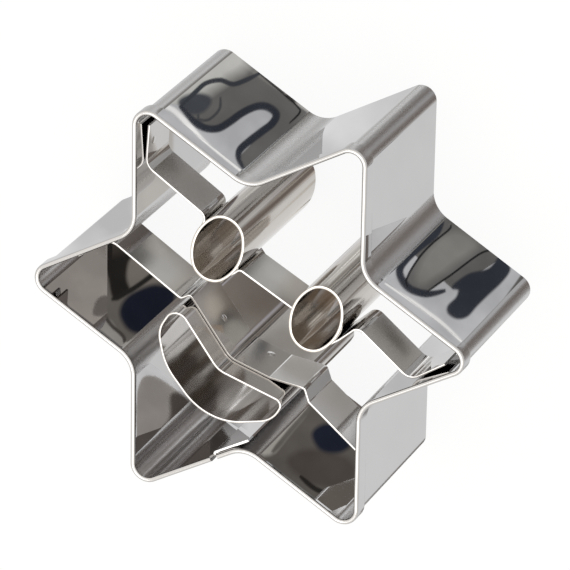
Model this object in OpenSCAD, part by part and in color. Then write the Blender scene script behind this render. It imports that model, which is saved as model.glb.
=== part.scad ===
// Cookie cutter: a six-pointed star of steel strip with a face inside it.
// Z = 0 is the cutting edge and the rim is on top. +Y points to one of the tips.

/* [Star band] */
// Centre to the corner that the inner faces make at a tip
star_r = 32; // [28:0.5:40]
// Height from the cutting edge to the rim
band_h = 25; // [22:0.5:35]
// Thickness of the band's sheet
band_t = 0.3; // [0.2:0.05:0.4]
// Bend radius of the inner face at a tip
tip_bend = 1.7; // [1.2:0.1:3]
// Bend radius of the inner face at a valley
valley_bend = 4.4; // [3:0.1:5]

/* [Rolled rim] */
// Height of the strip's edge that is folded outward
hem_h = 2.5; // [1.5:0.1:4]
// Gap that is left inside the fold
hem_gap = 0.1; // [0.05:0.05:0.3]

/* [Seam of the band] */
// Tip to the end of the rolled rim
seam_at = 12.7; // [11:0.1:13]
// Gap between the two ends of the rolled rim
seam_gap = 1.1; // [0.9:0.1:1.5]
// Tip to the end of the tongue that laps the seam inside
tongue_end = 19; // [17:0.1:20]
// Rim down to the tongue's top edge
tongue_drop = 0.8; // [0.5:0.1:2]
// Length over which the tongue steps inward
joggle = 0.7; // [0.6:0.1:0.8]

/* [Eye tubes] */
// Width of an eye, outside
eye_w = 7.2; // [6:0.1:7.6]
// Length of an eye, outside
eye_l = 10.2; // [9:0.1:11]
// Thickness of the eyes' sheet
eye_t = 0.4; // [0.3:0.05:0.5]
// Distance between the middles of the eyes
eye_pitch = 16; // [15.6:0.1:17]
// Centre of the star to the line through the eyes
eye_y = 6.5; // [6:0.1:7]
// Turn of the face in the star
face_turn = 3; // [0:0.5:5]
// Lean of each eye in the face
eye_lean = 4; // [0:0.5:6]
// Cutting edge up to the lower ends of the eyes
eye_lift = 1.3; // [0.5:0.1:3]

/* [Mouth] */
// Width of the mouth, outside
mouth_w = 19.6; // [18:0.1:21]
// Height of the mouth from its lowest point to its upper corners, outside
mouth_l = 10.3; // [9.5:0.1:11]
// Thickness of the mouth's sheet
mouth_t = 0.3; // [0.2:0.05:0.4]
// Centre of the star to the middle of the mouth, sideways
mouth_x = 0.8; // [0:0.1:1]
// Centre of the star down to the upper corners of the mouth
mouth_y = 5.5; // [5.3:0.1:6]

/* [Strips] */
// Thickness of the two strips that carry the face
strip_t = 0.3; // [0.2:0.05:0.4]
// Width of the strip that carries the eyes
eye_strip_w = 6.7; // [5:0.1:8]
// Rim down to the upper edge of the eye strip
eye_strip_drop = 2.7; // [2:0.1:4]
// Width of the strip that carries the mouth
mouth_strip_w = 7.6; // [6:0.1:9]
// Rim down to the upper edge of the mouth strip
mouth_strip_drop = 3.5; // [3:0.1:5]
// Valley to where the eye strip meets the band, on the left
eye_strip_left = 8.9; // [8:0.1:10]
// Valley to where the eye strip meets the band, on the right
eye_strip_right = 7.6; // [7:0.1:9]
// Valley to where the mouth strip meets the band, on the left
mouth_strip_left = 6.2; // [6:0.1:7]
// Valley to where the mouth strip meets the band, on the right
mouth_strip_right = 9.2; // [8:0.1:10]
// Length of the tabs that are welded to the band
tab_l = 5.8; // [4:0.1:6]
// Gap between a tab's free end and the band
tab_lift = 0.4; // [0.1:0.1:0.6]
// Bend radius where a strip meets its tab
wall_bend = 1.8; // [1:0.1:2.2]
// Clearance that the welds leave between two sheets
weld_gap = 0.05; // [0.03:0.01:0.1]

/* [Hidden] */
bend_step = 7.5;
fold_step = 30;
steel = "silver";
dark_steel = "darkgray";

// Corners of the star's inner face, tips and valleys in turn, and the radius of each bend
valley_r = star_r / sqrt(3);
star = [for (k = [0 : 11]) let (valley = k % 2 == 0)
    [(valley ? valley_r : star_r) * [cos(30 * k), sin(30 * k)], valley ? valley_bend : tip_bend]];
V34 = 0;
P3 = 1;
P1 = 5;
V61 = 6;
P6 = 7;
P5 = 9;
V45 = 10;
P4 = 11;

// Oval of the eyes, outside: two end arcs and two side arcs that run into each other.
// The end arcs are a little tighter than half round, at any width.
eye_end_share = 5 / 12;
eye_end = eye_w * eye_end_share;
eye_a = eye_l / 2;
eye_b = eye_w / 2;
eye_side = (pow(eye_b, 2) - pow(eye_end, 2) + pow(eye_a - eye_end, 2)) / (2 * (eye_b - eye_end));
eye_join = atan2(eye_a - eye_end, eye_side - eye_b);
eye_turn = face_turn + eye_lean;
left_eye = rot([-eye_pitch / 2, eye_y], face_turn);
right_eye = rot([eye_pitch / 2, eye_y], face_turn);

// Corners of the mouth's mid-line: across and up as shares of its width and height, and the bend as a share
// of its width. A mouth that is wide for its height bends as if its width were mouth_bend_share heights.
mouth_shares = [[-0.5, 0.085, 0.088], [-0.505, -0.415, 0.195], [-0.335, -0.79, 0.44], [0.14, -1.12, 0.43],
    [0.505, -0.44, 0.21], [0.495, -0.105, 0.05], [-0.005, -0.33, 0.165]];
mouth_bend_share = 1.95;
mouth_mid_w = mouth_w - mouth_t;
mouth_mid_l = mouth_l - mouth_t;
mouth_top = -mouth_y - mouth_t / 2;
mouth_bend = min(mouth_mid_w, mouth_mid_l * mouth_bend_share);
mouth = [for (s = mouth_shares)
    [[mouth_x + s[0] * mouth_mid_w, mouth_top + s[1] * mouth_mid_l], s[2] * mouth_bend]];
MOUTH_LEFT = 0;
MOUTH_RIGHT = 5;
MOUTH_DIP = 6;

// Where the strips' mid-lines run, from the faces that they are welded to
wall_off = weld_gap + strip_t / 2;

// The eye strip's bends: how high it meets an eye's outer side, how low it leaves the inner sides
cup_bend = 1.2;
mid_bend = 0.7;
left_rise = 1.7;
left_drop = 3.2;
right_rise = 0.65;
right_drop = 2.9;
right_slack = 1.15;
loose_reach = 1.5;
loose_bend = 4;

// The mouth strip's bends: the steps beside the mouth, from the mouth's own corners
foot_out = 0.4;
foot_down = 1.15;
left_hump_share = 0.03;
rise_share = 0.62;
hump_out = 0.9;
hump_up = 1.55;
step_out = 2.4;
step_up = 0.25;
step_bend = 0.5;
rise_bend = 2;
mouth_off = mouth_t / 2 + wall_off;

function unit(v) = v / norm(v);
function left_of(v) = [-v.y, v.x];
function rot(p, a) = [p.x * cos(a) - p.y * sin(a), p.x * sin(a) + p.y * cos(a)];
function turn(a, b) = atan2(a.x * b.y - a.y * b.x, a * b);
function wrap(i, n) = (i + n) % n;
// A point along the line from a to b, moved to its left
function along(a, b, dist, off) = a + unit(b - a) * dist + left_of(unit(b - a)) * off;
// A corner of an outline, moved to the left of it by off
function moved(o, p, q, off) =
    let (m = left_of(unit(p - o)), n = left_of(unit(q - p))) p + (m + n) * off / (1 + m * n);

// A line bent round corners, each a point and a bend radius, as stations: a point and the way to its left.
// The stations of a bend lie on its arc, about bend_step degrees apart.
function stations(c, closed = false) = [for (i = [0 : len(c) - 1])
    let (n = len(c), p = c[i][0], o = c[wrap(i - 1, n)][0], q = c[wrap(i + 1, n)][0])
    if (!closed && i == 0) [p, left_of(unit(q - p))]
    else if (!closed && i == n - 1) [p, left_of(unit(p - o))]
    else let (
        d = unit(p - o),
        s = turn(d, q - p),
        side = left_of(d) * sign(s),
        centre = p - d * c[i][1] * tan(abs(s) / 2) + side * c[i][1],
        steps = ceil(abs(s) / bend_step))
        for (k = [0 : steps]) let (r = rot(side, s * k / steps)) [centre - r * c[i][1], r * sign(s)]];
function shifted(line, off) = [for (s = line) s[0] + s[1] * off];
function reversed(list) = [for (i = [len(list) - 1 : -1 : 0]) list[i]];

// Sheet of thickness t that stands along a line, from height low to high
module sheet(line, t, low, high) {
    translate([0, 0, low]) linear_extrude(high - low)
        polygon(concat(shifted(line, t / 2), reversed(shifted(line, -t / 2))));
}

// The same for a line that closes on itself
module loop(line, t, low, high) {
    translate([0, 0, low]) linear_extrude(high - low) difference() {
        polygon(shifted(line, -t / 2));
        polygon(shifted(line, t / 2));
    }
}

// Section of the band, from its inner face outward: its top edge is folded outward and down.
// The tongue has only the section's first two points and its last two.
fold_r = band_t + hem_gap / 2;
fold_z = band_h - fold_r;
tongue_z = band_h - tongue_drop;
hemmed = concat([[0, 0], [0, tongue_z]],
    [for (a = [0 : fold_step : 180]) [fold_r * (cos(a) - 1), fold_z + fold_r * sin(a)]],
    [[-2 * fold_r, band_h - hem_h], [-band_t - hem_gap, band_h - hem_h], [-band_t - hem_gap, fold_z],
    [-band_t, fold_z], [-band_t, tongue_z], [-band_t, 0]]);

// The section's area as faces that bulge everywhere: the wall up to the tongue's edge, and the roll above it.
// The fold's arc starts at the corner FOLD, is highest at FOLD_TOP and ends at HEM.
FOLD = 2;
FOLD_TOP = FOLD + 90 / fold_step;
HEM = FOLD + 180 / fold_step;
wall_face = [0, 1, HEM + 5, HEM + 6];
roll_faces = concat(
    [[FOLD - 1, FOLD, HEM + 4, HEM + 5]],
    [for (k = [FOLD : FOLD_TOP - 1]) [k, k + 1, HEM + 4]],
    [[FOLD_TOP, HEM + 3, HEM + 4]],
    [for (k = [FOLD_TOP : HEM - 1]) [k, k + 1, HEM + 3]],
    [[HEM, HEM + 1, HEM + 2, HEM + 3]]);

module outer_band() {
    a = star[P5][0];
    b = star[V45][0];
    inside = band_t + weld_gap;
    ring = stations(concat([[along(a, b, seam_at + seam_gap, 0), 0]],
        [for (k = [V45 : P5 + 12]) star[wrap(k, 12)]], [[along(a, b, seam_at, 0), 0]]));
    tongue = stations([
        [along(a, b, seam_at, 0), 0],
        [along(a, b, seam_at + band_t, 0), band_t],
        [along(a, b, seam_at + joggle, inside), 2 * band_t],
        [along(a, b, tongue_end, inside), 0]]);
    n = len(hemmed);
    ends = [0, 1, n - 2, n - 1];
    rolled = len(ring) * n;
    plain = len(tongue) - 1;
    // A corner of the section at a station, in space
    function at_station(s, p) = let (q = s[0] + s[1] * p.x) [q.x, q.y, p.y];
    points = concat(
        [for (s = ring) for (p = hemmed) at_station(s, p)],
        [for (i = [1 : plain]) for (k = ends) at_station(tongue[i], hemmed[k])]);
    // The corner k of the tongue's station i, where station 0 is the ring's last
    function at(i, k) = (i == 0) ? rolled - n + ends[k] : rolled + (i - 1) * 4 + k;
    faces = concat(
        [for (f = concat([wall_face], roll_faces)) reversed(f)],
        [for (i = [0 : len(ring) - 2]) for (k = [0 : n - 1])
            [i * n + k, i * n + wrap(k + 1, n), (i + 1) * n + wrap(k + 1, n), (i + 1) * n + k]],
        [for (f = roll_faces) [for (k = f) rolled - n + k]],
        [for (i = [0 : plain - 1]) for (k = [0 : 3]) let (next = wrap(k + 1, 4))
            [at(i, k), at(i, next), at(i + 1, next), at(i + 1, k)]],
        [[for (k = [0 : 3]) at(plain, k)]]);
    color(steel) polyhedron(points, faces);
}

// The eyes' oval, moved outward by off
function oval(off) = let (side = (eye_side + off) / cos(eye_join) - (eye_side - eye_b),
    end = (eye_end + off) / sin(eye_join) + eye_a - eye_end)
    [[[side, 0], eye_side + off], [[0, end], eye_end + off],
    [[-side, 0], eye_side + off], [[0, -end], eye_end + off]];

module eye_tube(centre) {
    color(dark_steel) translate([centre.x, centre.y, 0]) rotate([0, 0, eye_turn])
        loop(stations(oval(-eye_t / 2), closed = true), eye_t, eye_lift, band_h);
}
module left_eye_tube() { eye_tube(left_eye); }
module right_eye_tube() { eye_tube(right_eye); }

module mouth_loop() {
    color(dark_steel) loop(stations(mouth, closed = true), mouth_t, 0, band_h);
}

// The end of a strip: a tab along the wall from a towards b, and the corner where the strip leaves it
function tab(a, b, dist, off) =
    [[along(a, b, dist + tab_l, off + sign(off) * tab_lift), 0], [along(a, b, dist, off), wall_bend]];

// The eye strip round one eye, in the eye's own frame: from its outer side, under it, to its inner side.
// side is 1 for the left eye and -1 for the right one. The strip stands off the outer side by slack.
function cup(side, slack, rise, drop) = let (
    r = eye_side + wall_off,
    e = eye_end + wall_off,
    low = eye_a - eye_end,
    reach = slack == 0 ? r * tan(eye_join / 2) : loose_reach,
    knee = [-e * cos(eye_join), -low - e * sin(eye_join)] + reach * [-sin(eye_join), cos(eye_join)],
    out = asin(drop / r),
    far = r / cos((eye_join - out) / 2),
    mid = (eye_join + out) / 2,
    corners = [
        [[-eye_b - wall_off - slack, rise], cup_bend],
        [knee, slack == 0 ? r : loose_bend],
        [[0, -low - e / sin(eye_join)], e],
        [[far * cos(mid) - eye_side + eye_b, -far * sin(mid)], r],
        [[r * cos(out) - eye_side + eye_b, -drop] + mid_bend * [sin(out), cos(out)], mid_bend]])
    [for (c = corners) [[side * c[0].x, c[0].y], c[1]]];

function placed(corners, centre) = [for (c = corners) [centre + rot(c[0], eye_turn), c[1]]];
module eye_strip() {
    high = band_h - eye_strip_drop;
    line = concat(
        tab(star[V61][0], star[P1][0], eye_strip_left, -wall_off),
        placed(cup(1, 0, left_rise, left_drop), left_eye),
        placed(reversed(cup(-1, right_slack, right_rise, right_drop)), right_eye),
        reversed(tab(star[V34][0], star[P3][0], eye_strip_right, wall_off)));
    color(steel) sheet(stations(line), strip_t, high - eye_strip_w, high);
}

module mouth_strip() {
    high = band_h - mouth_strip_drop;
    l = mouth[MOUTH_LEFT][0];
    d = mouth[MOUTH_DIP][0];
    r = mouth[MOUTH_RIGHT][0];
    left_w = norm(l - d);
    right_w = norm(r - d);
    line = concat(
        tab(star[V61][0], star[P6][0], mouth_strip_left, wall_off),
        [[l + [-foot_out, -foot_down], step_bend],
        [along(l, d, left_w * left_hump_share, mouth_off), step_bend],
        [moved(l, d, r, mouth_off), mouth[MOUTH_DIP][1] - mouth_off],
        [along(d, r, right_w * rise_share, mouth_off), rise_bend],
        [r + [hump_out, hump_up], step_bend],
        [r + [step_out, step_up], step_bend]],
        reversed(tab(star[V34][0], star[P4][0], mouth_strip_right, -wall_off)));
    color(steel) sheet(stations(line), strip_t, high - mouth_strip_w, high);
}

outer_band();
left_eye_tube();
right_eye_tube();
mouth_loop();
mouth_strip();
eye_strip();
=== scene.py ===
# %% [markdown]
# # A star cookie cutter, bent from thin steel strip
# The real cutter is six pieces of stainless sheet. A strip is rolled over at its top edge and bent into a
# six-pointed star. Two oval tubes cut the eyes and a bent loop cuts the mouth. Two crossing strips carry the
# face, and spot welds hold it all together. This lesson makes each piece from its own bend line, gives the
# sheet a polished finish, and lights it on a white table.

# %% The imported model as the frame
import cmath
import math
import bmesh
import bpy
from mathutils import Matrix, Vector
from mathutils.bvhtree import BVHTree


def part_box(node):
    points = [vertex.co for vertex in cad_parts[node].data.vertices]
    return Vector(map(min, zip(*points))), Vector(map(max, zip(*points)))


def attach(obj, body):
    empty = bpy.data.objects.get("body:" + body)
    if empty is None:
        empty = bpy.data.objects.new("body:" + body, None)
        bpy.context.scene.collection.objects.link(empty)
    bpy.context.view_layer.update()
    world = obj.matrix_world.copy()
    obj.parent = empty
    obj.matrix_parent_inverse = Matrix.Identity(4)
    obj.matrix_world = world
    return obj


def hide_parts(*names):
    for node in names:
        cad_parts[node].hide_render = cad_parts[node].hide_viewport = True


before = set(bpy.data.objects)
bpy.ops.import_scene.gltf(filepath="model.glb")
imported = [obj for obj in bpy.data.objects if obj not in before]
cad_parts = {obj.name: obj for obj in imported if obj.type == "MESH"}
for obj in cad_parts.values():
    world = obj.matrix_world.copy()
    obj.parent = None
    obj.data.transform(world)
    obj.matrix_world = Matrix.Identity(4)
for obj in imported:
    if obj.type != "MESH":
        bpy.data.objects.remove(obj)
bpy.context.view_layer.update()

MM = 0.001

# %% [markdown]
# ## Sizes
# Heights come from the frame, so each piece ends where the construction says. The plan of the star and of
# the face is repeated here as a few driving sizes in millimetres. The corners of every bend line are worked
# out from them. A place in plan is a complex number: adding moves it, and multiplying turns it.

# %% Sizes of the star, the face and the strips, in millimetres
STAR_R = 32.0
BAND_T = 0.3
TIP_BEND = 1.7
VALLEY_BEND = 4.4
HEM_H = 2.5
HEM_GAP = 0.1
SEAM_AT = 12.7
SEAM_GAP = 1.1
TONGUE_END = 19.0
TONGUE_DROP = 0.8
JOGGLE = 0.7
EYE_W = 7.2
EYE_L = 10.2
EYE_END_SHARE = 5 / 12
EYE_T = 0.4
EYE_PITCH = 16.0
EYE_Y = 6.5
FACE_TURN = 3.0
EYE_LEAN = 4.0
MOUTH_W = 19.6
MOUTH_L = 10.3
MOUTH_T = 0.3
MOUTH_X = 0.8
MOUTH_Y = 5.5
STRIP_T = 0.3
EYE_STRIP_LEFT = 8.9
EYE_STRIP_RIGHT = 7.6
MOUTH_STRIP_LEFT = 6.2
MOUTH_STRIP_RIGHT = 9.2
TAB_L = 5.8
TAB_LIFT = 0.4
WALL_BEND = 1.8
WELD_GAP = 0.05
WALL_OFF = WELD_GAP + STRIP_T / 2


def heights(name):
    """The lowest and the highest level of a piece, in millimetres."""
    low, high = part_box(name)
    return low.z / MM, high.z / MM


BAND_H = heights("outer_band")[1]
print("heights in mm:", {n: [round(h, 2) for h in heights(n)] for n in sorted(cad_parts)})

# %% [markdown]
# ## Bend lines
# A bender makes each piece from a straight strip: so far along, then a bend of so much at such a radius. Here
# a bend line is a list of corners, each a place and an inside radius, and `stations` walks along it. It could
# also be drawn as a curve by hand, but corners and radii are what the bending tool sets.


# %% Walking along a bend line
def unit(v):
    """The same way, one long."""
    return v / abs(v)


def turn(degrees):
    """The number that turns a place by so many degrees."""
    return cmath.rect(1, math.radians(degrees))


def along(a, b, distance, left=0.0):
    """A place on the way from a to b, moved to the left."""
    return a + unit(b - a) * (distance + 1j * left)


def stations(corners, closed=False, step=2.5):
    """Places on a line that is bent at its corners, each with the way to its left, by corner.

    The places in a bend are about step degrees apart.
    """
    count = len(corners)
    walk = []
    for i, (p, radius) in enumerate(corners):
        before = corners[i - 1][0]
        after = corners[(i + 1) % count][0]
        if not closed and i == 0:
            walk.append([(p, 1j * unit(after - p))])
        elif not closed and i == count - 1:
            walk.append([(p, 1j * unit(p - before))])
        else:
            angle = cmath.phase((after - p) / (p - before))
            side = 1j * unit(p - before) * math.copysign(1, angle)
            centre = p - unit(p - before) * radius * math.tan(abs(angle) / 2) + side * radius
            steps = max(1, math.ceil(math.degrees(abs(angle)) / step)) if radius else 0
            spokes = [side * cmath.rect(1, angle * k / max(steps, 1)) for k in range(steps + 1)]
            walk.append([(centre - s * radius, s * math.copysign(1, angle)) for s in spokes])
    return walk


# %% The star's corners: the tips P1 to P6 and the valleys between them, by number
CORNERS = 12
star_r = [STAR_R if k % 2 else STAR_R / math.sqrt(3) for k in range(CORNERS)]
star = [r * turn(360 / CORNERS * k) for k, r in enumerate(star_r)]
star_bend = [TIP_BEND if k % 2 else VALLEY_BEND for k in range(CORNERS)]
V34, P3, V23, P2, V12, P1, V61, P6, V56, P5, V45, P4 = range(CORNERS)
print("tip to tip:", round(abs(star[P2] - star[P5]), 1), "mm")

# %% [markdown]
# ## The rolled band
# The star's strip is folded outward at the top, so that a hand can press on a round rim. Its one seam is near
# the lowest tip: there the end loses its roll, steps inward by its own thickness and laps the other end. A
# sweep along the star would not make that lap, so the section is carried from station to station in code, and
# past the seam only its wall goes on. Each point keeps how far into a bend it lies, for the finish.

# %% The band's section, from the cutting edge up its inner face and over the fold
# Radii of the two corners of the strip's raw edge, and the fold's facets in degrees
INNER_CUT = 0.04
OUTER_CUT = 0.2
FOLD_STEP = 9.0


def band_section():
    """The section's corners, each as a distance to the left of the bend line and a height."""
    fold = BAND_T + HEM_GAP / 2
    corners = [
        (0j, 0), (complex(0, BAND_H - TONGUE_DROP), 0),
        (complex(0, BAND_H), fold), (complex(-2 * fold, BAND_H), fold),
        (complex(-2 * fold, BAND_H - HEM_H), OUTER_CUT),
        (complex(-BAND_T - HEM_GAP, BAND_H - HEM_H), INNER_CUT),
        (complex(-BAND_T - HEM_GAP, BAND_H - fold), 0), (complex(-BAND_T, BAND_H - fold), 0),
        (complex(-BAND_T, BAND_H - TONGUE_DROP), 0), (complex(-BAND_T, 0), 0)]
    places = stations(corners, closed=True, step=FOLD_STEP)
    return [p for corner in places for p, left in corner]


section = band_section()
kept = [0, 1, len(section) - 2, len(section) - 1]
print("the section has", len(section), "corners, and the tongue keeps", len(kept))


# %% A skin over rows of points
def loft(rows):
    """A skin over rows of points, one row for each station, still open at its two ends."""
    mesh = bmesh.new()
    grid = [[mesh.verts.new(Vector(p) * MM) for p in row] for row in rows]
    for near, far in zip(grid, grid[1:]):
        for k in range(len(near)):
            following = (k + 1) % len(near)
            mesh.faces.new((near[k], near[following], far[following], far[k]))
    return mesh, grid


def put(name, data):
    """An object of some data, put in the scene."""
    made = bpy.data.objects.new(name, data)
    bpy.context.scene.collection.objects.link(made)
    return made


def object_from(mesh, name):
    """An object at the origin from a finished bmesh, with its normals outward."""
    bmesh.ops.recalc_face_normals(mesh, faces=mesh.faces)
    data = bpy.data.meshes.new(name)
    mesh.to_mesh(data)
    mesh.free()
    return put(name, data)


def in_space(station, corner):
    """A corner of the section at a station, as x, y and z."""
    place = station[0] + station[1] * corner.real
    return place.real, place.imag, corner.imag


def in_bend(count):
    """How far into its bend each of a corner's stations lies, from 0 at its ends to 1 inside."""
    return [min(1, 2 * math.sin(math.pi * k / max(count - 1, 1))) for k in range(count)]


# %% The band, with the tongue that laps its seam
JOGGLE_STEP = 6.0
a, b = star[P5], star[V45]
lap = BAND_T + WELD_GAP
round_star = [k % CORNERS for k in range(V45, P5 + CORNERS + 1)]
ring_corners = [(along(a, b, SEAM_AT + SEAM_GAP), 0)]
ring_corners += [(star[k], star_bend[k]) for k in round_star]
ring_corners += [(along(a, b, SEAM_AT), 0)]
ring_walk = stations(ring_corners)
ring = [s for corner in ring_walk for s in corner]
tongue_corners = [
    (along(a, b, SEAM_AT), 0), (along(a, b, SEAM_AT + BAND_T), BAND_T),
    (along(a, b, SEAM_AT + JOGGLE, lap), 2 * BAND_T), (along(a, b, TONGUE_END, lap), 0)]
tongue = [s for corner in stations(tongue_corners, step=JOGGLE_STEP) for s in corner]
mesh, grid = loft([[in_space(s, c) for c in section] for s in ring])
mesh.faces.new(grid[0])
mesh.faces.new(grid[-1][1:-1])
last = [grid[-1][k] for k in kept]
for s in tongue[1:]:
    row = [mesh.verts.new(Vector(in_space(s, section[k])) * MM) for k in kept]
    for k in range(len(kept)):
        following = (k + 1) % len(kept)
        mesh.faces.new((last[k], last[following], row[following], row[k]))
    last = row
mesh.faces.new(last)
band = object_from(mesh, "rolled_band")
bent = [share for corner in ring_walk for share in in_bend(len(corner)) for _ in section]
bent += [0.0] * len(kept) * len(tongue[1:])
band.data.attributes.new("bent", "FLOAT", "POINT").data.foreach_set("value", bent)
print("the band has", len(ring), "stations and", len(band.data.polygons), "faces")

# %% [markdown]
# ## Sheets on edge
# Eye tubes, mouth and strips are all flat strip stood on edge and bent. Each is the same rule with other
# numbers, so one node tree makes them: it takes the bend line's corners, rounds each by its own radius, and
# sweeps the strip's thin section along it.


# %% A node with its settings and links
def fill(made, inputs):
    """Fills or links a node's inputs, by name or number. A node stands for its first output."""
    for name, value in inputs.items():
        value = value.outputs[0] if isinstance(value, bpy.types.Node) else value
        if isinstance(value, bpy.types.NodeSocket):
            made.id_data.links.new(value, made.inputs[name])
        else:
            made.inputs[name].default_value = value


def node(tree, kind, inputs=None, **settings):
    """Adds a node to a tree, sets it and fills its inputs."""
    made = tree.nodes.new(kind)
    for name, value in settings.items():
        setattr(made, name, value)
    fill(made, inputs or {})
    return made


# %% What every tree of this lesson begins and ends with
def new_tree(name, *sizes):
    """A tree that takes a shape, named sizes and a material, with the sockets that bring them in."""
    tree = bpy.data.node_groups.new(name, "GeometryNodeTree")
    face = tree.interface
    face.new_socket("Geometry", in_out="INPUT", socket_type="NodeSocketGeometry")
    for size in sizes:
        face.new_socket(size, in_out="INPUT", socket_type="NodeSocketFloat")
    face.new_socket("Material", in_out="INPUT", socket_type="NodeSocketMaterial")
    face.new_socket("Geometry", in_out="OUTPUT", socket_type="NodeSocketGeometry")
    return tree, node(tree, "NodeGroupInput").outputs


def finished(tree, shape, material):
    """The tree with its end: every copy made real, the material set, and the shape handed out."""
    real = node(tree, "GeometryNodeRealizeInstances", {"Geometry": shape})
    done = node(tree, "GeometryNodeSetMaterial", {"Geometry": real, "Material": material})
    node(tree, "NodeGroupOutput", {"Geometry": done})
    return tree


# %% The tree that bends a sheet
EDGE_R = 0.06
EDGE_STEPS = 3


def sheet_tree():
    """Corners with the attributes bend and steps become a sheet on edge."""
    tree, given = new_tree("Sheet on edge", "Thickness", "Low", "High", "Edge")
    line = node(tree, "GeometryNodeMeshToCurve", {"Mesh": given["Geometry"]})
    upright = node(tree, "GeometryNodeSetCurveNormal", {"Curve": line}, mode="Z_UP")
    bend = node(tree, "GeometryNodeInputNamedAttribute", {"Name": "bend"}, data_type="FLOAT")
    steps = node(tree, "GeometryNodeInputNamedAttribute", {"Name": "steps"}, data_type="INT")
    bent = node(tree, "GeometryNodeFilletCurve",
                {"Curve": upright, "Count": steps, "Radius": bend}, mode="POLY")
    width = node(tree, "ShaderNodeMath", {0: given["High"], 1: given["Low"]}, operation="SUBTRACT")
    level = node(tree, "ShaderNodeMath", {0: given["High"], 1: given["Low"]}, operation="ADD")
    down = node(tree, "ShaderNodeMath", {0: level, 1: -0.5}, operation="MULTIPLY")
    strip = node(tree, "GeometryNodeCurvePrimitiveQuadrilateral",
                 {"Width": given["Thickness"], "Height": width})
    dulled = node(tree, "GeometryNodeFilletCurve",
                  {"Curve": strip, "Count": EDGE_STEPS, "Radius": given["Edge"]}, mode="POLY")
    lift = node(tree, "ShaderNodeCombineXYZ", {"Y": down})
    strip = node(tree, "GeometryNodeTransform", {"Geometry": dulled, "Translation": lift})
    skin = node(tree, "GeometryNodeCurveToMesh", {"Curve": bent, "Profile Curve": strip, "Fill Caps": True})
    return finished(tree, skin, given["Material"])


SHEET = sheet_tree()


# %% A plain mesh from a tree
def evaluated(data, tree, sizes, material):
    """The plain mesh that a tree makes from a mesh, with its named inputs set first."""
    maker = put("maker", data)
    modifier = maker.modifiers.new("made", "NODES")
    modifier.node_group = tree
    for item in tree.interface.items_tree:
        if item.in_out == "INPUT" and item.name in sizes:
            modifier[item.identifier] = sizes[item.name]
        if item.in_out == "INPUT" and item.name == "Material":
            modifier[item.identifier] = material
    graph = bpy.context.evaluated_depsgraph_get()
    made = bpy.data.meshes.new_from_object(maker.evaluated_get(graph), depsgraph=graph)
    bpy.data.objects.remove(maker)
    return made


print("the tree", SHEET.name, "has", len(SHEET.nodes), "nodes")


# %% A piece of sheet on edge
def sheet(name, corners, closed, thickness, low, high, material, step=3.0):
    """A piece of sheet on edge, from its mid-line's corners in millimetres."""
    count = len(corners)
    edges = [(i, (i + 1) % count) for i in range(count if closed else count - 1)]
    data = bpy.data.meshes.new(name)
    data.from_pydata([(c.real * MM, c.imag * MM, 0) for c, radius in corners], edges, [])
    bend = data.attributes.new("bend", "FLOAT", "POINT")
    steps = data.attributes.new("steps", "INT", "POINT")
    for i, (c, radius) in enumerate(corners):
        ahead, behind = corners[(i + 1) % count][0] - c, c - corners[i - 1][0]
        angle = abs(math.degrees(cmath.phase(ahead / behind)))
        inner = closed or 0 < i < count - 1
        bend.data[i].value = radius * MM if inner else 0
        steps.data[i].value = max(1, math.ceil(angle / step)) if inner and radius else 1
    sizes = {"Thickness": thickness * MM, "Low": low * MM, "High": high * MM, "Edge": EDGE_R * MM}
    made = evaluated(data, SHEET, sizes, material)
    mesh = bmesh.new()
    mesh.from_mesh(made)
    piece = object_from(mesh, name)
    piece.data.materials.append(material)
    print(name, "has", len(piece.data.polygons), "faces")
    return piece


# %% [markdown]
# ## Colours and the polished sheet
# Cutters are made of chromium-nickel stainless steel, rolled bright and hardly finished further. It mirrors
# what is round it, a little stretched along the rolling direction, and a thin sheet is never quite flat, so
# the mirrored edges wander. Its colour is a warm grey, because the steel gives back a bit over half the
# light. Dark figures could be painted on it, but they wouldn't move with the viewer: they come from cards.


# %% Colours, by the rule of the sRGB standard
def linear(code):
    """An sRGB hex colour as linear red, green, blue and alpha."""
    parts = [int(code[i:i + 2], 16) / 255 for i in (1, 3, 5)]
    return [p / 12.92 if p <= 0.04045 else ((p + 0.055) / 1.055) ** 2.4 for p in parts] + [1.0]


print("mid grey is", round(linear("#808080")[0], 3), "of white")

# %% Bright rolled stainless steel
# The rolls leave lines about a hundredth of a millimetre apart. They are drawn ten times coarser, to show.
GRAIN_MM = 0.12
GRAIN_ALONG = 0.02
GRAIN_DEEP = 0.0005
GRAIN_STRENGTH = 0.1
# Wiping leaves clouds a few millimetres wide, where the steel is a little darker and duller.
CLOUD_MM = 6.0
CLOUD_DARK = 0.93
CLOUD_DULL = 1.6
CLOUD_LOW, CLOUD_HIGH = 0.3, 0.7
# The sheet bulges between its bends, about as far apart as these are.
WAVE_MM = 9.0


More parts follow.
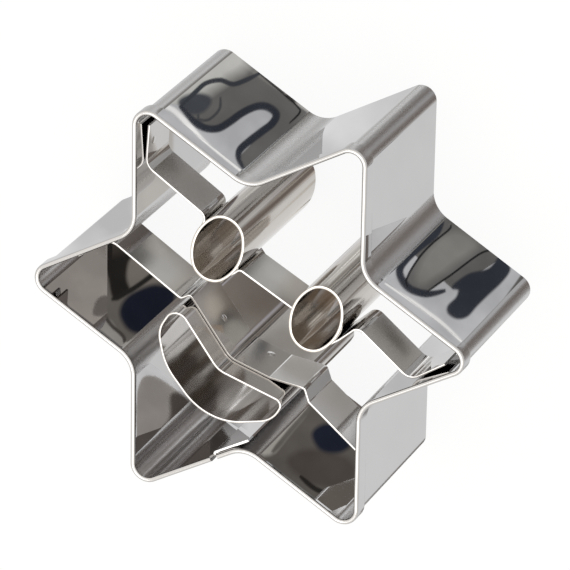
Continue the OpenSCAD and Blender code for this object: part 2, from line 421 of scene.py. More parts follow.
def rolled_steel(name, colour, dull, wave, bend_dull=0.0):
    """Stainless sheet: a mirror with faint rolling lines, slow waves and clouds of dullness."""
    material = bpy.data.materials.new(name)
    material.use_nodes = True
    tree = material.node_tree
    place = node(tree, "ShaderNodeTexCoord").outputs["Object"]
    lines = node(tree, "ShaderNodeMapping", {"Vector": place, "Scale": (GRAIN_ALONG, GRAIN_ALONG, 1.0)})
    grain = node(tree, "ShaderNodeTexNoise", {"Vector": lines, "Scale": 1 / (GRAIN_MM * MM), "Detail": 3.0})
    cloud = node(tree, "ShaderNodeTexNoise", {"Vector": place, "Scale": 1 / (CLOUD_MM * MM), "Detail": 4.0})
    slow = node(tree, "ShaderNodeTexNoise", {"Vector": place, "Scale": 1 / (WAVE_MM * MM), "Detail": 1.0})
    darker = [c * CLOUD_DARK for c in linear(colour)[:3]] + [1.0]
    tint = node(tree, "ShaderNodeMix", {"Factor": cloud}, data_type="RGBA")
    fill(tint, {6: linear(colour), 7: darker})
    rough = node(tree, "ShaderNodeMapRange",
                 {"Value": cloud, "From Min": CLOUD_LOW, "From Max": CLOUD_HIGH,
                  "To Min": dull, "To Max": dull * CLOUD_DULL})
    bent = node(tree, "ShaderNodeAttribute", attribute_name="bent").outputs["Fac"]
    rough = node(tree, "ShaderNodeMath", {0: bent, 1: bend_dull, 2: rough}, operation="MULTIPLY_ADD")
    fine = node(tree, "ShaderNodeBump",
                {"Height": grain, "Strength": GRAIN_STRENGTH, "Distance": GRAIN_DEEP * MM})
    waves = node(tree, "ShaderNodeBump",
                 {"Height": slow, "Strength": 1.0, "Distance": wave * MM, "Normal": fine})
    fill(tree.nodes["Principled BSDF"],
         {"Metallic": 1.0, "Base Color": tint.outputs[2], "Roughness": rough, "Normal": waves})
    return material


# The band's sheet shows the figures sharp. Bending stretches its skin, so a bend smears what it mirrors.
band_steel = rolled_steel("bright_rolled_stainless_band", "#C4C3C3", 0.012, 0.002, bend_dull=0.26)
# The tubes and the loop are bent over a form, which rubs them: they mirror softly and a little browner.
eye_steel = rolled_steel("bright_rolled_stainless_tube", "#C6C1BB", 0.07, 0.006)
mouth_steel = rolled_steel("bright_rolled_stainless_loop", "#C5C2BF", 0.07, 0.006)
# The strips are left as rolled and are wavier than the band, so their figures are soft but still clear.
strip_steel = rolled_steel("bright_rolled_stainless_strip", "#C4C2C0", 0.05, 0.006)
band.data.materials.append(band_steel)
print("steels:", [steel.name for steel in (band_steel, eye_steel, mouth_steel, strip_steel)])

# %% [markdown]
# ## The eyes
# Each eye is a short oval tube, a little egg-like on its ends, cut shorter than the band at the bottom. Two
# tight end arcs and two wide side arcs meet without a corner.

# %% The eyes' oval
EYE_END = EYE_W * EYE_END_SHARE
EYE_A, EYE_B = EYE_L / 2, EYE_W / 2
EYE_SIDE = (EYE_B ** 2 - EYE_END ** 2 + (EYE_A - EYE_END) ** 2) / (2 * (EYE_B - EYE_END))
EYE_JOIN = math.atan2(EYE_A - EYE_END, EYE_SIDE - EYE_B)
EYE_TURN = FACE_TURN + EYE_LEAN
left_eye = complex(-EYE_PITCH / 2, EYE_Y) * turn(FACE_TURN)
right_eye = complex(EYE_PITCH / 2, EYE_Y) * turn(FACE_TURN)


def oval(off):
    """The oval's four arcs as corners, moved outward by off."""
    side = (EYE_SIDE + off) / math.cos(EYE_JOIN) - (EYE_SIDE - EYE_B)
    end = (EYE_END + off) / math.sin(EYE_JOIN) + EYE_A - EYE_END
    return [(side, EYE_SIDE + off), (end * 1j, EYE_END + off),
            (-side, EYE_SIDE + off), (-end * 1j, EYE_END + off)]


def placed(corners, centre):
    """Corners in an eye's own frame, put into the star."""
    return [(centre + c * turn(EYE_TURN), radius) for c, radius in corners]


eyes = {name: sheet(name + "_shell", placed(oval(-EYE_T / 2), centre), True, EYE_T, *heights(name), eye_steel)
        for name, centre in (("left_eye_tube", left_eye), ("right_eye_tube", right_eye))}

# %% [markdown]
# ## The mouth
# The mouth is a loop with seven bends. Its corners are shares of its width and height, chosen from the shape
# of the smile: high corners left and right, a wide curve below and a shallow dip above.

# %% The mouth's loop
MOUTH_SHARES = [(-0.5, 0.085, 0.088), (-0.505, -0.415, 0.195), (-0.335, -0.79, 0.44), (0.14, -1.12, 0.43),
                (0.505, -0.44, 0.21), (0.495, -0.105, 0.05), (-0.005, -0.33, 0.165)]
MOUTH_LEFT, MOUTH_RIGHT, MOUTH_DIP = 0, 5, 6
MOUTH_BEND_SHARE = 1.95
mid_w, mid_l = MOUTH_W - MOUTH_T, MOUTH_L - MOUTH_T
mouth_top = -MOUTH_Y - MOUTH_T / 2
mouth_bend = min(mid_w, mid_l * MOUTH_BEND_SHARE)
mouth = [(complex(MOUTH_X + x * mid_w, mouth_top + y * mid_l), r * mouth_bend) for x, y, r in MOUTH_SHARES]
mouth_loop = sheet("mouth_loop_shell", mouth, True, MOUTH_T, *heights("mouth_loop"), mouth_steel)

# %% [markdown]
# ## The strips that carry the face
# The eye strip comes off the band in a tab, wraps under the left eye, crosses to the right eye, wraps under
# that too and ends in another tab. The mouth strip does the same over the mouth's upper edge. They are
# welded, so between a strip and what it holds there is only the thickness of the weld.

# %% Tabs and cups
CUP_BEND = 1.2
MID_BEND = 0.7
LOOSE_REACH = 1.5
LOOSE_BEND = 4.0


def tab(a, b, distance, off):
    """A strip's end: the tab along the wall from a towards b, and the corner where the strip leaves it."""
    lifted = off + math.copysign(TAB_LIFT, off)
    return [(along(a, b, distance + TAB_L, lifted), 0), (along(a, b, distance, off), WALL_BEND)]


def cup(side, slack, rise, drop):
    """The strip round one eye in the eye's own frame, from its outer side, under it, to its inner side."""
    r, e = EYE_SIDE + WALL_OFF, EYE_END + WALL_OFF
    low = EYE_A - EYE_END
    reach = LOOSE_REACH if slack else r * math.tan(EYE_JOIN / 2)
    out = math.asin(drop / r)
    mid = (EYE_JOIN + out) / 2
    far = r / math.cos((EYE_JOIN - out) / 2)
    inner = EYE_B - EYE_SIDE
    corners = [
        (complex(-EYE_B - WALL_OFF - slack, rise), CUP_BEND),
        (complex(-e, reach) * cmath.rect(1, EYE_JOIN) - 1j * low, LOOSE_BEND if slack else r),
        (complex(0, -low - e / math.sin(EYE_JOIN)), e),
        (cmath.rect(far, -mid) + inner, r),
        (complex(r, MID_BEND) * cmath.rect(1, -out) + inner, MID_BEND)]
    return [(complex(side * c.real, c.imag), radius) for c, radius in corners]


# %% The eye strip
LEFT_RISE, LEFT_DROP = 1.7, 3.2
RIGHT_RISE, RIGHT_DROP = 0.65, 2.9
RIGHT_SLACK = 1.15
eye_line = tab(star[V61], star[P1], EYE_STRIP_LEFT, -WALL_OFF)
eye_line += placed(cup(1, 0, LEFT_RISE, LEFT_DROP), left_eye)
eye_line += placed(cup(-1, RIGHT_SLACK, RIGHT_RISE, RIGHT_DROP), right_eye)[::-1]
eye_line += tab(star[V34], star[P3], EYE_STRIP_RIGHT, WALL_OFF)[::-1]
eye_strip = sheet("eye_strip_shell", eye_line, False, STRIP_T, *heights("eye_strip"), strip_steel)

# %% The mouth strip
FOOT = -0.4 - 1.15j
HUMP = 0.9 + 1.55j
STEP = 2.4 + 0.25j
STEP_BEND = 0.5
RISE_BEND = 2.0
LEFT_HUMP_SHARE = 0.03
RISE_SHARE = 0.62


def moved(before, p, after, off):
    """A corner of an outline, moved to the left of it."""
    m, n = 1j * unit(p - before), 1j * unit(after - p)
    return p + (m + n) * off / (1 + (m * n.conjugate()).real)


ml, mr, md = mouth[MOUTH_LEFT][0], mouth[MOUTH_RIGHT][0], mouth[MOUTH_DIP][0]
mouth_off = MOUTH_T / 2 + WALL_OFF
mouth_line = tab(star[V61], star[P6], MOUTH_STRIP_LEFT, WALL_OFF)
mouth_line += [
    (ml + FOOT, STEP_BEND),
    (along(ml, md, abs(md - ml) * LEFT_HUMP_SHARE, mouth_off), STEP_BEND),
    (moved(ml, md, mr, mouth_off), mouth[MOUTH_DIP][1] - mouth_off),
    (along(md, mr, abs(mr - md) * RISE_SHARE, mouth_off), RISE_BEND),
    (mr + HUMP, STEP_BEND), (mr + STEP, STEP_BEND)]
mouth_line += tab(star[V34], star[P4], MOUTH_STRIP_RIGHT, -WALL_OFF)[::-1]
mouth_strip = sheet("mouth_strip_shell", mouth_line, False, STRIP_T, *heights("mouth_strip"), strip_steel)

# %% [markdown]
# ## Spot welds
# Two copper rods press the sheets together and a short current melts them into one at that place. What stays
# is a low round bump, about a millimetre wide, which mirrors the room in small. A dome could be modelled on
# each strip by hand, but all are alike, so a node tree puts one dome on every weld and turns it to the sheet.


# %% The tree that sets domes on places
WELD_SEGMENTS = 24
WELD_RINGS = 16


def weld_tree():
    """Places with the attribute facing become low domes, sunk in the sheet by half their height."""
    tree, given = new_tree("Spot welds", "Radius", "Height")
    ball = node(tree, "GeometryNodeMeshUVSphere",
                {"Segments": WELD_SEGMENTS, "Rings": WELD_RINGS, "Radius": 1.0})
    size = node(tree, "ShaderNodeCombineXYZ",
                {"X": given["Radius"], "Y": given["Radius"], "Z": given["Height"]})
    down = node(tree, "ShaderNodeMath", {0: given["Height"], 1: -0.5}, operation="MULTIPLY")
    sink = node(tree, "ShaderNodeCombineXYZ", {"Z": down})
    dome = node(tree, "GeometryNodeTransform", {"Geometry": ball, "Translation": sink, "Scale": size})
    facing = node(tree, "GeometryNodeInputNamedAttribute", {"Name": "facing"}, data_type="FLOAT_VECTOR")
    turned = node(tree, "FunctionNodeAlignRotationToVector", {"Vector": facing}, axis="Z")
    domes = node(tree, "GeometryNodeInstanceOnPoints",
                 {"Points": given["Geometry"], "Instance": dome, "Rotation": turned})
    return finished(tree, domes, given["Material"])


# %% Welds on the two strips
WELD_R = 0.65
WELD_H = 0.1
EYE_STRIP_WELDS = [(-24.01, 10.72, 20.69), (23.77, 10.43, 21.52)]
MOUTH_STRIP_WELDS = [(4.38, -7.58, 16.08), (-3.38, -6.63, 17.71)]
WELDS = weld_tree()


def weld(piece, places):
    """Adds welds to a strip's mesh at the faces nearest to those places."""
    points = [v.co for v in piece.data.vertices]
    skin = BVHTree.FromPolygons(points, [p.vertices for p in piece.data.polygons])
    found = [skin.find_nearest(Vector(place) * MM)[:2] for place in places]
    data = bpy.data.meshes.new("welds")
    data.from_pydata([place for place, facing in found], [], [])
    ways = data.attributes.new("facing", "FLOAT_VECTOR", "POINT")
    for way, (place, facing) in zip(ways.data, found):
        way.vector = facing
    sizes = {"Radius": WELD_R * MM, "Height": WELD_H * MM}
    made = evaluated(data, WELDS, sizes, piece.data.materials[0])
    mesh = bmesh.new()
    mesh.from_mesh(piece.data)
    mesh.from_mesh(made)
    bmesh.ops.recalc_face_normals(mesh, faces=mesh.faces)
    mesh.to_mesh(piece.data)
    mesh.free()
    print(piece.name, "has", len(found), "welds, facing", [facing.to_tuple(2) for place, facing in found])


weld(eye_strip, EYE_STRIP_WELDS)
weld(mouth_strip, MOUTH_STRIP_WELDS)

# %% [markdown]
# ## Smooth bends and flat faces
# A mirror shows every fault of its shading. Bends are shaded smooth and the sheet's edges sharp, and the
# weighted normals keep a flat wall flat right up to its bend.

# %% Shading and bodies, in place of the frame's parts
SHARP_FROM = 20
fitted = [
    (band, "outer_band", "band_steel"),
    (eyes["left_eye_tube"], "left_eye_tube", "eye_steel"),
    (eyes["right_eye_tube"], "right_eye_tube", "eye_steel"),
    (mouth_loop, "mouth_loop", "mouth_steel"),
    (mouth_strip, "mouth_strip", "strip_steel"),
    (eye_strip, "eye_strip", "strip_steel")]
for piece, cad_node, slot in fitted:
    piece.data.shade_smooth()
    piece.data.set_sharp_from_angle(angle=math.radians(SHARP_FROM))
    keep = piece.modifiers.new("flat walls", "WEIGHTED_NORMAL")
    keep.keep_sharp = True
    keep.weight = 100
    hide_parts(cad_node)
    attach(piece, "root")
    low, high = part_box(cad_node)
    points = [v.co for v in piece.data.vertices]
    made = [Vector([pick(p[i] for p in points) for i in range(3)]) for pick in (min, max)]
    gap = max((made[0] - low).length, (made[1] - high).length)
    print(cad_node, "differs from the construction by", round(gap / MM, 3), "mm")

# %% [markdown]
# ## The camera
# A long lens looks down at the star from behind its top tip, rolled to the right. Its place and its turn were
# fitted to the photo: the corners of the star are known in the part and can be found in the picture. The
# three vectors are its ways to the right, up and back.

# %% Camera
# The picture's width and height in pixels
PICTURE = 570
right = Vector((0.7849, 0.4729, -0.4004))
up = Vector((-0.6115, 0.6951, -0.3779))
back = Vector((0.0996, 0.5415, 0.8348))
eye = Vector((66.1, 358.0, 564.3)) * MM
lens = bpy.data.cameras.new("long_lens")
lens.sensor_width = 36
lens.lens = 312
lens.clip_start = 0.05
lens.clip_end = 20
camera = put("camera", lens)
camera.matrix_world = Matrix.Translation(eye) @ Matrix([right, up, back]).transposed().to_4x4()
bpy.context.scene.camera = camera
print("the camera is", round(eye.length / MM), "mm from the star")


def ray(x, y):
    """The way that the camera looks through a place in the picture, in pixels."""
    across = (x - PICTURE / 2) / PICTURE * lens.sensor_width / lens.lens
    down = (y - PICTURE / 2) / PICTURE * lens.sensor_width / lens.lens
    return (right * across - up * down - back).normalized()


# %% [markdown]
# ## The white table, and the low one that only mirrors see
# The cutter stands on a white table, on clean white for the camera. Bright metal shows only what lies in
# front of it, so a photographer lays cards outside the picture. Here they lie on a second white surface,
# 150 mm below the table, which mirrors see in place of the table. The cards could stand upright round the
# star, but nearly every wall sends the eye downward, so they lie flat.


# %% Papers that shine, and surfaces for the camera or for mirrors
def bare(name):
    """A material without nodes, and its tree."""
    paper = bpy.data.materials.new(name)
    paper.use_nodes = True
    paper.node_tree.nodes.clear()
    return paper, paper.node_tree


# Matt white paper: it takes a soft shadow, and shines a little so that it stays white round the star.
def plain_white(name, lit, glow):
    """A white surface that keeps a soft shadow, and shines to the camera and to mirrors only."""
    material, tree = bare(name)
    paper = node(tree, "ShaderNodeBsdfDiffuse", {"Color": linear(lit)})
    shine = node(tree, "ShaderNodeEmission", {"Color": linear("#FFFFFF"), "Strength": 1.0})
    path = node(tree, "ShaderNodeLightPath")
    seen = path.outputs["Is Camera Ray"]
    for kind in ("Is Glossy Ray", "Is Transmission Ray"):
        seen = node(tree, "ShaderNodeMath", {0: seen, 1: path.outputs[kind]}, operation="MAXIMUM")
    share = node(tree, "ShaderNodeMath", {0: seen, 1: glow}, operation="MULTIPLY")
    both = node(tree, "ShaderNodeMixShader", {0: share, 1: paper, 2: shine})
    node(tree, "ShaderNodeOutputMaterial", {"Surface": both})
    return material


# Dyed card, lit evenly: its pulp is a little uneven, so a wide card in a mirror isn't one dead grey.
PULP_LOW, PULP_HIGH = 0.35, 0.65


def shining_paper(name, colour, strength, mottle=0.12, mottle_mm=9.0):
    """A card's paper, a little uneven, which fades out where the attribute fade goes to nothing."""
    paper, tree = bare(name)
    fade = node(tree, "ShaderNodeAttribute", attribute_name="fade").outputs["Fac"]
    clear = node(tree, "ShaderNodeBsdfTransparent")
    place = node(tree, "ShaderNodeTexCoord").outputs["Object"]
    pulp = node(tree, "ShaderNodeTexNoise", {"Vector": place, "Scale": 1 / (mottle_mm * MM), "Detail": 3.0})
    level = node(tree, "ShaderNodeMapRange",
                 {"Value": pulp, "From Min": PULP_LOW, "From Max": PULP_HIGH,
                  "To Min": strength * (1 - mottle), "To Max": strength * (1 + mottle)})
    glow = node(tree, "ShaderNodeEmission", {"Color": linear(colour), "Strength": level})
    both = node(tree, "ShaderNodeMixShader", {0: fade, 1: clear, 2: glow})
    node(tree, "ShaderNodeOutputMaterial", {"Surface": both})
    return paper


def for_mirrors_only(made):
    """Hides a surface from the camera and from the light, but not from mirrors."""
    made.visible_camera = False
    made.visible_diffuse = False
    made.visible_shadow = False
    made.visible_transmission = False
    made.visible_volume_scatter = False


# %% The table and the low table
TABLE_HALF = 3.0
LOW_TABLE = -150 * MM
TABLE_GLOW = 0.9
LOW_GLOW = 0.93
square = [(x * TABLE_HALF, y * TABLE_HALF) for x, y in ((-1, -1), (1, -1), (1, 1), (-1, 1))]


def flat(places, level, fades=None):
    """The corners of a flat sheet through places in plan, in metres, with a fade for each."""
    mesh = bmesh.new()
    layer = mesh.verts.layers.float.new("fade")
    corners = [mesh.verts.new((x, y, level)) for x, y in places]
    for corner, fade in zip(corners, fades or [1.0] * len(corners)):
        corner[layer] = fade
    return mesh, corners


def of_paper(mesh, name, paper):
    """An object of some paper."""
    made = object_from(mesh, name)
    made.data.materials.append(paper)
    return made


def square_sheet(name, level, paper):
    """A square sheet under the star."""
    mesh, corners = flat(square, level)
    mesh.faces.new(corners)
    return of_paper(mesh, name, paper)


table = square_sheet("table", 0.0, plain_white("white_table", "#F4F4F4", TABLE_GLOW))
table.visible_glossy = False
low_paper = shining_paper("low_table_paper", "#FFFFFF", LOW_GLOW, mottle=0.03, mottle_mm=30)
for_mirrors_only(square_sheet("low_table", LOW_TABLE, low_paper))
print("the low table lies", round(-LOW_TABLE / MM), "mm under the table")

# %% [markdown]
# ## The way of the light
# A card is drawn where the camera should find it. A place in the picture is sent to the wall, turned back
# there as a mirror does, perhaps to a second wall, and followed down to the low table. Steel keeps part of
# the light at each wall, so the card shines as much more as the walls take away. A card could also be laid
# by trial, but after two walls nobody guesses its place.

# %% From the camera by one wall or more to the low table
STEEL_SHARE = 0.535
MOST_TURNS = 6
OFF_WALL = 0.002 * MM
verts, faces = [], []
for piece in [row[0] for row in fitted]:
    faces += [[len(verts) + i for i in p.vertices] for p in piece.data.polygons]
    verts += [v.co.copy() for v in piece.data.vertices]
shells = BVHTree.FromPolygons(verts, faces)


def mirror_path(x, y):
    """The walls by which the camera sees the low table at a place, and the share of light they leave."""
    start, way, walls, share = eye, ray(x, y), [], 1.0
    while len(walls) < MOST_TURNS:
        hit, facing = shells.ray_cast(start, way)[:2]
        if hit is None:
            break
        facing = facing * -math.copysign(1, facing.dot(way))
        # Metal gives back more at a low angle, by the usual rule of the fifth power.
        share *= STEEL_SHARE + (1 - STEEL_SHARE) * (1 + facing.dot(way)) ** 5
        walls.append((hit, facing))
        way = way - 2 * way.dot(facing) * facing
        start = hit + way * OFF_WALL
    return walls, share


def card_place(x, y, walls, level):
    """The place at some level that the camera sees at a place in the picture, by way of those walls."""
    start, way = eye, ray(x, y)
    for place, facing in walls:
        start = start + way * (facing.dot(place - start) / facing.dot(way))
        way = way - 2 * way.dot(facing) * facing
    place = start + way * ((level - start.z) / way.z)
    return place.x, place.y


print("the light turns at", len(mirror_path(PICTURE / 2, PICTURE / 2)[0]), "walls in the picture's middle")


# %% Outlines in the picture, in pixels
# A stroke starts at a share of its width, and grows by so many times the share of its length.
THIN_END = 0.3
TAPER = 5


def spline(points, closed, steps=6):
    """A smooth line through points."""
    count = len(points)
    result = []
    for i in range(count if closed else count - 1):
        around = [(i + j) % count if closed else min(max(i + j, 0), count - 1) for j in (-1, 0, 1, 2)]
        o, p, q, r = [Vector(points[j]) for j in around]
        squared, cubed = 2 * o - 5 * p + 4 * q - r, 3 * p - o - 3 * q + r
        for t in [k / steps for k in range(steps)]:
            result.append(0.5 * (2 * p + (q - o) * t + squared * t ** 2 + cubed * t ** 3))
    return result if closed else result + [Vector(points[-1])]


def rounded(points):
    """A smooth outline through points."""
    return spline(points, closed=True)


def stroke(points, width):
    """A line of some width as an outline, drawn out thin at its ends."""
    line = spline(points, closed=False)
    sides = []
    for i, p in enumerate(line):
        way = line[min(i + 1, len(line) - 1)] - line[max(i - 1, 0)]
        reach = width / 2 * min(1.0, THIN_END + TAPER * min(i, len(line) - 1 - i) / len(line))
        sides.append(Vector((-way.y, way.x)).normalized() * reach)
    return [p + d for p, d in zip(line, sides)] + [p - d for p, d in zip(line, sides)][::-1]


def outward(line):
    """The way out of an outline, at each of its places."""
    area = sum(p.cross(q) for p, q in zip(line, line[1:] + line[:1]))
    ways = [(q - o).normalized() for o, q in zip(line[-1:] + line[:-1], line[1:] + line[:1])]
    return [Vector((w.y, -w.x)) * math.copysign(1, area) for w in ways]


# %% Cards for figures, with the number of walls on each card's way
# Each card lies so much over the one before it, and so covers it.
CARD_STEP = 0.05 * MM
cards = []


def card(line, seen, soft, at=None):
    """A card with the outline, the colour and the soft edge, in pixels, that the camera should find."""
    line = [Vector(p) for p in line]
    level = LOW_TABLE + CARD_STEP * (len(cards) + 1)
    walls, share = mirror_path(*(at or sum(line, Vector((0, 0))) / len(line)))
    rim = [p + w * soft for p, w in zip(line, outward(line))]
    places = [card_place(p.x, p.y, walls, level) for p in line + rim]
    count = len(line)
    mesh, corners = flat(places, level, [1.0] * count + [0.0] * count)
    mesh.faces.new(corners[:count])
    for i in range(count):
        j = (i + 1) % count
        mesh.faces.new((corners[i], corners[j], corners[count + j], corners[count + i]))
    bmesh.ops.triangulate(mesh, faces=mesh.faces)
    paper = shining_paper(f"card_paper_{len(cards) + 1}", seen, 1 / share)
    for_mirrors_only(of_paper(mesh, f"card_{len(cards) + 1}", paper))
    cards.append(len(walls))


def lay(figures):
    """Lays cards, each over those before it: outline, colour seen, soft edge, and where it is aimed."""
    for figure in figures:
        card(*figure)
    print(len(figures), "cards, by so many walls:", cards[-len(figures):])


# %% [markdown]
# ## Wide cards, one for each side
# A wall sends the eye down to the side that it faces, so every pair of parallel walls looks at its own part
# of the low table. Cards bent round the star lie there, dark for the walls behind and light for those in
# front. Each could be a plain square, but a ring's piece with soft sides gives a bend an even run of greys.


# %% Cards bent round a place, by bearing
RING_STEPS = 24


def ring_card(name, colour, strength, first, last, near=55, far=230, soft=9, mottle=0.2,
              centre=0j, lift=0.5):
    """A card bent round a place, from one bearing to another in degrees, with soft sides."""
    places, fades = [], []
    for k in range(RING_STEPS + 1):
        bearing = first - soft + (last - first + 2 * soft) * k / RING_STEPS
        fade = min(1.0, max(0.0, min(bearing - first + soft, last + soft - bearing) / (2 * soft)))
        for reach in (near, far):
            place = (centre + cmath.rect(reach, math.radians(bearing))) * MM
            places.append((place.real, place.imag))
            fades.append(fade * fade * (3 - 2 * fade))
    mesh, corners = flat(places, LOW_TABLE + CARD_STEP * lift, fades)
    for k in range(0, 2 * RING_STEPS, 2):
        mesh.faces.new((corners[k], corners[k + 1], corners[k + 3], corners[k + 2]))
    paper = shining_paper(name + "_paper", colour, strength, mottle, mottle_mm=22)
    for_mirrors_only(of_paper(mesh, name, paper))
    print(name, "lies from", first, "to", last, "degrees")


ONE_WALL = 1 / STEEL_SHARE
MOUTH_BEND_AT = 1.5 - 7.2j
UPPER_RIGHT_AT = star[P3] * 0.9
ring_card("far_card", "#635C58", ONE_WALL, 12, 116, soft=16, mottle=0.25)
ring_card("left_card", "#E0E0DF", 1.0, 146, 186)
ring_card("back_card", "#E9E9EA", 1.0, 200, 246)
ring_card("near_card", "#463F39", ONE_WALL, -82, -40, near=109, far=150)
ring_card("valley_card", "#D2D2D3", 1.0, 52, 88, near=92, far=128, soft=6, centre=star[V23], lift=0.6)
ring_card("end_card", "#757370", ONE_WALL, 100, 134, near=88, far=132, soft=12, centre=star[V12], lift=0.6)
ring_card("strip_card", "#8E8C90", ONE_WALL, 62, 78, near=92, far=118, soft=5, centre=MOUTH_BEND_AT, lift=0.8)
ring_card("tip_card", "#5F5A55", ONE_WALL, -8, 30, near=98, far=122, soft=6, centre=UPPER_RIGHT_AT, lift=0.7)

# %% [markdown]
# ## Figures inside the lower left tip
# What a real wall shows are the dark things of the room, bent by the waves of the sheet. Their outlines are
# drawn here as places in the picture. This tip's right part sees them by one wall, and its left part
# by two, so the same corner of the tip has cards that are aimed at either.

# %% The lower left tip
P6_ONE, P6_TWO = (140, 290), (85, 285)
corner_ground = [(30, 270), (108, 235), (118, 330), (90, 330), (30, 290)]
corner_spot = [(94, 313), (97, 302), (104, 297), (113, 300), (113, 308), (107, 314), (99, 316)]
inner_ground = [(104, 235), (135, 240), (200, 300), (150, 370), (100, 335)]
inner_wedge = [(104, 246), (119, 243), (128, 250), (131, 261), (127, 272), (130, 282), (126, 292), (115, 299),
               (110, 279)]
inner_shadow = [(112, 300), (128, 292), (143, 282), (156, 272)]
inner_brown = [(133, 260), (148, 272), (157, 280), (146, 284), (134, 288), (129, 276)]
inner_blot = [(122, 314), (127, 301), (140, 292), (155, 287), (170, 291), (173, 299), (166, 311), (152, 323),
              (140, 331), (129, 327)]
inner_pale = [(100, 318), (110, 322), (119, 336), (133, 352), (126, 356), (108, 338), (95, 322)]
inner_tail = [(103, 314), (112, 326), (123, 336), (125, 344)]
inner_glint = [(133, 350), (148, 338), (176, 316)]
lay([
    (corner_ground, "#8A8580", 1, P6_TWO),
    (rounded(corner_spot), "#5C5854", 2, P6_TWO),
    (inner_ground, "#5B5752", 1, P6_ONE),
    (rounded(inner_wedge), "#1F1D1B", 3, P6_ONE),
    (rounded(inner_brown), "#66615B", 4, P6_ONE),
    (stroke(inner_shadow, 3), "#201F1D", 2, P6_ONE),
    (rounded(inner_blot), "#181B25", 5, P6_ONE),
    (rounded(inner_pale), "#85827E", 3, P6_ONE),
    (stroke(inner_tail, 2.5), "#3A3734", 1, P6_ONE),
    (stroke(inner_glint, 4), "#A5A4A1", 2, P6_ONE)])

# %% [markdown]
# ## Figures inside the lower right tip
# One wall fills most of this tip for the camera. It holds a navy pool in a brown ground, a pale band where
# the wall looks past the cards, and a dark arc. The corner is seen by two walls, and its card comes last.

# %% The lower right tip
P4_ONE = (310, 450)
right_inner_ground = [(240, 450), (300, 385), (370, 440), (362, 530), (300, 505)]
right_glow = [(262, 452), (280, 428), (302, 402)]
right_line = [(272, 452), (290, 430), (310, 408)]
right_pool = [(314, 434), (324, 426), (338, 428), (350, 440), (340, 450), (322, 448)]
right_warm = [(290, 462), (310, 452), (340, 458), (352, 470), (346, 482), (316, 482)]
right_arc = [(300, 476), (316, 489), (334, 493), (352, 484)]
lay([
    (right_inner_ground, "#55514D", 1, P4_ONE),
    (stroke(right_glow, 16), "#98958F", 5, P4_ONE),
    (stroke(right_line, 3), "#5A5753", 2, P4_ONE),
    (rounded(right_warm), "#46413D", 7, P4_ONE),
    (rounded(right_pool), "#1B1F2A", 5, P4_ONE),
    (stroke(right_arc, 3.5), "#242220", 1.5, P4_ONE)])

# %% [markdown]
# ## Figures in the lowest tip
# The two walls of this tip mirror each other, so nearly all of it is seen by two walls, and its right edge by
# three. The pale ground is laid twice, once for each of the two ways that lead to it.

# %% The lowest tip
P5_TWO, P5_HIGH = (150, 395), (140, 370)
P5_RIGHT, P5_RIGHT_THREE = (228, 440), (202, 450)
tip_ground = [(125, 350), (215, 350), (225, 440), (125, 480)]
tip_brown = [(136, 397), (142, 380), (148, 376), (158, 378), (178, 392), (196, 409), (193, 415), (175, 426),
             (157, 436), (143, 447), (136, 456), (134, 464), (133, 430)]
tip_dark = [(172, 396), (180, 395), (196, 409), (193, 415), (175, 426), (170, 424), (172, 412)]
tip_black = [(136, 463), (150, 444), (172, 422), (193, 411)]
tip_three = [(125, 430), (190, 420), (220, 430), (215, 470), (130, 485)]
tip_deep = [(145, 476), (173, 443), (205, 415), (212, 416), (226, 435), (227, 440), (217, 449), (187, 464),
            (154, 477)]
lay([
    (tip_ground, "#C0C1C2", 1, P5_HIGH),
    (tip_ground, "#C0C1C2", 1, P5_TWO),
    (rounded(tip_brown), "#86827D", 1.5, P5_TWO),
    (rounded(tip_dark), "#47423E", 4, P5_TWO),
    (stroke(tip_black, 4), "#262422", 2.5, P5_TWO),
    (rounded(tip_deep), "#3A3734", 3, P5_RIGHT),
    (tip_three, "#4A4541", 1, P5_RIGHT_THREE)])

# %% [markdown]
# ## Cards of painted shade just under the table
# The bottoms of the eyes, of the mouth and of two tips are darker than the walls alone make them, because a
# narrow place keeps the light. More turns could be traced there; instead a small dark card under each is
# painted shade in what the walls mirror.

# %% Cards of painted shade
UNDER_TABLE = -0.5 * MM
# Name, colour of the painted shade as seen, corners in plan, and how solid the card is at each
PAINTED_SHADE_CARDS = [
    ("lowest_tip_painted_shade", "#3A3632", [(-3.0, -26.0), (3.0, -26.0), (0.6, -31.6), (-0.6, -31.6)], [0, 0, 1, 1]),
    ("left_tip_painted_shade", "#4E463F", [(-19.5, -15.2), (-23.2, -9.2), (-26.3, -14.8), (-25.9, -15.3)],
     [0, 0, 1, 1]),
    ("left_eye_painted_shade", "#83796F", [(-11, 3), (-6, 3), (-6, 9.5), (-11, 9.5)], [0.5] * 4),
    ("right_eye_painted_shade", "#7D6E60", [(5, 4), (10, 4), (10, 10), (5, 10)], [0.7] * 4),
    ("mouth_painted_shade", "#57504A", [(-9, -7), (4, -8.6), (3, -17), (-9, -16)], [0.2, 1, 1, 1])]
# Each card glows dark for mirrors only: painted shade for the bottom of a narrow place.
for name, colour, places, fades in PAINTED_SHADE_CARDS:
    mesh, corners = flat([(x * MM, y * MM) for x, y in places], UNDER_TABLE, fades)
    mesh.faces.new(corners)
    paper = shining_paper(name + "_paper", colour, ONE_WALL, mottle=0.25, mottle_mm=3)
    for_mirrors_only(of_paper(mesh, name, paper))
print(len(PAINTED_SHADE_CARDS), "floors lie", round(-UNDER_TABLE / MM, 2), "mm under the table")

# %% [markdown]
# ## Figures in the strips
# Each flat stretch of a strip mirrors its own part of the low table, so it has a ground of its own and,
# over that, what is dark or pale in it. A card is aimed at the flat, because a bend would send it elsewhere.

